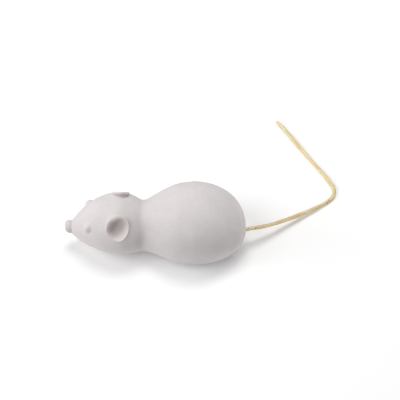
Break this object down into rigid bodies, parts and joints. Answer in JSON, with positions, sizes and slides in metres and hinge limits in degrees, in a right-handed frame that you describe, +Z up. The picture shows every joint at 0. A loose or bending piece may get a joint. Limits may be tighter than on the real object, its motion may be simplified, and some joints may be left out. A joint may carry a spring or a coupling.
{
  "type": "clockwork mouse",
  "caption": "Wind-up toy mouse: smooth gourd-shaped shell with cupped ears and a fibre tail, on a tin base with a spring motor, key, driven rear wheels and a front roller.",
  "frame": {"origin": "on the ground, under the middle of the toy with its key and without its tail", "axes": "-X towards the nose, +Y towards the mouse's right flank where the key is, +Z up; the mouse's middle plane is at y = -3.325 mm"},
  "size_m": [0.1378, 0.0972, 0.0371],
  "materials": {
    "shell": "matte pale grey, faintly pink",
    "ears": "matte pale grey, a little warmer",
    "straw": "dry natural plant fibre",
    "tin": "pressed tinplate, bright",
    "key": "stamped and tumbled plated steel",
    "steel": "turned steel",
    "spring_steel": "blued spring steel",
    "brass": "stamped brass",
    "wheel": "moulded, glossy",
    "rubber": "black rubber",
    "nylon": "moulded nylon"
  },
  "bodies": {
    "root": {"body_shell": "shell", "ear_left": "ears", "ear_right": "ears", "tail": "straw", "tail_knot": "straw", "base_plate": "tin", "screw_front": "steel", "screw_rear_left": "steel", "screw_rear_right": "steel", "roller_pin": "steel", "motor_plate_left": "tin", "motor_plate_right": "tin", "pillar_front_high": "steel", "pillar_front_low": "steel", "pillar_rear_high": "steel", "pillar_rear_low": "steel", "mainspring": "spring_steel"},
    "great_wheel": {"great_wheel": "brass", "click_stud": "steel", "click_spring": "spring_steel"},
    "winding": {"winding_arbor": "steel", "winding_key": "key", "ratchet_wheel": "steel"},
    "click": {"click": "steel"},
    "second_arbor": {"second_arbor": "steel", "second_pinion": "steel", "second_wheel": "brass"},
    "third_arbor": {"third_arbor": "steel", "third_pinion": "steel", "third_wheel": "brass"},
    "drive_axle": {"drive_axle": "steel", "axle_pinion": "steel", "drive_wheel_left": "wheel", "tyre_left": "rubber", "drive_wheel_right": "wheel", "tyre_right": "rubber"},
    "front_roller": {"front_roller": "nylon"}
  },
  "joints": [
    {"name": "great_wheel_turn", "type": "hinge", "parent": "root", "child": "great_wheel", "pos_m": [0.017, -0.00332, 0.0098], "axis": [0, 1, 0], "continuous": true},
    {"name": "key_wind", "type": "hinge", "parent": "great_wheel", "child": "winding", "pos_m": [0.017, -0.00332, 0.0098], "axis": [0, 1, 0], "continuous": true},
    {"name": "click_lift", "type": "hinge", "parent": "great_wheel", "child": "click", "pos_m": [0.02058, -0.00332, 0.01236], "axis": [0, 1, 0], "range_deg": [0, 8]},
    {"name": "second_arbor_turn", "type": "hinge", "parent": "root", "child": "second_arbor", "pos_m": [0.02089, -0.00332, 0.01679], "axis": [0, 1, 0], "continuous": true},
    {"name": "third_arbor_turn", "type": "hinge", "parent": "root", "child": "third_arbor", "pos_m": [0.02758, -0.00332, 0.0132], "axis": [0, 1, 0], "continuous": true},
    {"name": "drive_axle_turn", "type": "hinge", "parent": "root", "child": "drive_axle", "pos_m": [0.0264, -0.00332, 0.0065], "axis": [0, 1, 0], "continuous": true},
    {"name": "front_roller_turn", "type": "hinge", "parent": "root", "child": "front_roller", "pos_m": [-0.0165, -0.00332, 0.004], "axis": [0, 1, 0], "continuous": true}
  ],
  "couplings": [
    {"joint": "second_arbor_turn", "follows": "great_wheel_turn", "ratio": -3},
    {"joint": "third_arbor_turn", "follows": "great_wheel_turn", "ratio": 8.4},
    {"joint": "drive_axle_turn", "follows": "great_wheel_turn", "ratio": -20.16}
  ]
}
